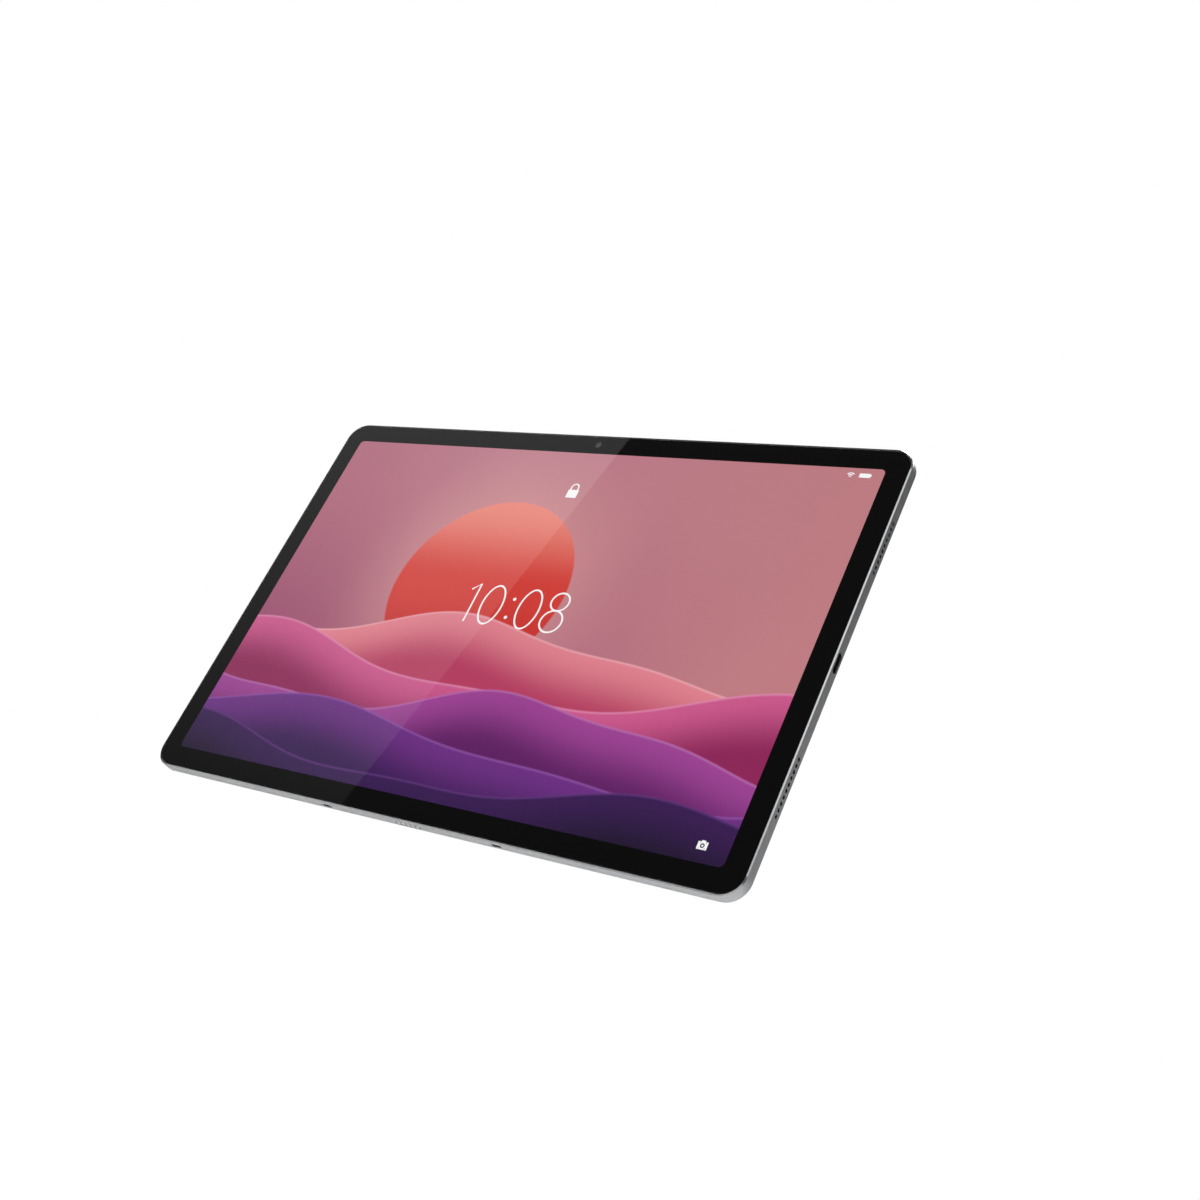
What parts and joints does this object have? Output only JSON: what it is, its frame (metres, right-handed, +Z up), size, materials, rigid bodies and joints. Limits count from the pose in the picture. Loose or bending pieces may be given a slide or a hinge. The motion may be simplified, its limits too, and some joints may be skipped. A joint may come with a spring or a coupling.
{
  "type": "tablet computer",
  "caption": "Slim landscape tablet computer with a glass front in a metal frame, a raised rear camera plate, edge keys, a card tray and a keyboard dock.",
  "frame": {"origin": "the middle of the keyboard contacts on the bottom edge, where a keyboard dock or a stand holds the tablet upright", "axes": "the tablet stands upright in landscape: +X to the right of the screen as its user sees it, +Z up the screen, the screen faces -Y and the rear camera faces +Y"},
  "size_m": [0.2936, 0.0069, 0.191],
  "materials": {
    "cover_glass": "clear polished glass, black printed border beneath",
    "ink_black": "black printed ink",
    "black_tape": "black foam tape",
    "lcd_panel": "lit display, abstract folded-sheet picture",
    "optical_film": "milky diffusing film",
    "light_guide": "clear acrylic sheet",
    "led_strip": "white LEDs on a narrow strip",
    "reflector": "white mirror film",
    "sheet_steel": "pressed steel sheet",
    "frame_aluminium": "fine blasted and anodised, cut bright edges",
    "plate_aluminium": "pressed sheet",
    "cover_aluminium": "fine blasted and anodised grey",
    "antenna_panel": "grey satin paint on plastic",
    "badge_metal": "blank brushed plate",
    "battery_foil": "dark pouch foil",
    "white_adhesive": "stretch-release adhesive",
    "circuit_board": "solder-masked board",
    "chip_resin": "moulded resin",
    "shield_steel": "tinned steel",
    "graphite": "graphite sheet",
    "usb_steel": "deep-drawn steel shell",
    "black_plastic": "black moulded plastic",
    "flex_film": "amber polyimide film",
    "antenna_foil": "printed metal foil",
    "speaker_plastic": "black moulded plastic",
    "speaker_mesh": "fine woven mesh, black",
    "microphone_metal": "gilt can",
    "camera_plate_metal": "brushed, with a bright bevel",
    "lens_bezel_metal": "dark anodised",
    "lens_glass": "dark coated glass",
    "camera_housing": "black moulded plastic",
    "flash_ring": "bright light ring",
    "flash_lens": "clear Fresnel lens",
    "flash_led": "yellow phosphor",
    "key_metal": "fine blasted, as the frame",
    "sensor_coating": "dark satin coating",
    "switch_steel": "dome switches",
    "tray_metal": "as the frame",
    "dock_plastic": "grey moulded plastic",
    "contact_metal": "plated contacts",
    "magnet_nickel": "nickel-plated magnets",
    "screw_steel": "plated steel"
  },
  "bodies": {
    "body": {"cover_glass": "cover_glass", "bezel_mask": "ink_black", "display_gasket": "black_tape", "lcd_panel": "lcd_panel", "optical_films": "optical_film", "light_guide": "light_guide", "led_strip": "led_strip", "reflector_sheet": "reflector", "backlight_tray": "sheet_steel", "side_frame": "frame_aluminium", "mid_plate": "plate_aluminium", "rear_cover": "cover_aluminium", "antenna_panel": "antenna_panel", "cover_adhesive": "black_tape", "badge_plate": "badge_metal", "battery_left": "battery_foil", "battery_right": "battery_foil", "battery_adhesive": "white_adhesive", "battery_board": "circuit_board", "main_board": "circuit_board", "processor": "chip_resin", "memory_chip": "chip_resin", "power_chip": "chip_resin", "shield_large": "shield_steel", "shield_small": "shield_steel", "heat_spreader": "graphite", "usb_board": "circuit_board", "usb_shell": "usb_steel", "usb_tongue": "black_plastic", "main_flex": "flex_film", "display_flex": "flex_film", "driver_board": "circuit_board", "panel_flexes": "flex_film", "wifi_antennas": "antenna_foil", "speaker_upper_left": "speaker_plastic", "speaker_lower_left": "speaker_plastic", "speaker_upper_right": "speaker_plastic", "speaker_lower_right": "speaker_plastic", "speaker_meshes": "speaker_mesh", "microphones": "microphone_metal", "camera_plate": "camera_plate_metal", "lens_bezel": "lens_bezel_metal", "lens_cover": "lens_glass", "rear_camera": "camera_housing", "flash_ring": "flash_ring", "flash_lens": "flash_lens", "flash_led": "flash_led", "front_camera": "camera_housing", "key_switches": "switch_steel", "card_reader": "shield_steel", "dock_connector": "dock_plastic", "dock_contacts": "contact_metal", "slot_liners": "black_plastic", "keyboard_magnets": "magnet_nickel", "board_screws": "screw_steel"},
    "power_key": {"power_key": "key_metal", "fingerprint_sensor": "sensor_coating"},
    "volume_key": {"volume_key": "key_metal"},
    "card_tray": {"card_tray": "tray_metal"}
  },
  "joints": [
    {"name": "power_press", "type": "slide", "parent": "body", "child": "power_key", "axis": [1, 0, 0], "range_m": [0, 0.00025], "stiffness_N_per_m": 1500, "springref_m": -0.0001},
    {"name": "volume_rock", "type": "hinge", "parent": "body", "child": "volume_key", "pos_m": [-0.104, 0, 0.18815], "axis": [0, 1, 0], "range_deg": [-1.2, 1.2], "stiffness_Nm_per_rad": 0.5},
    {"name": "card_eject", "type": "slide", "parent": "body", "child": "card_tray", "axis": [-1, 0, 0], "range_m": [0, 0.022]}
  ]
}
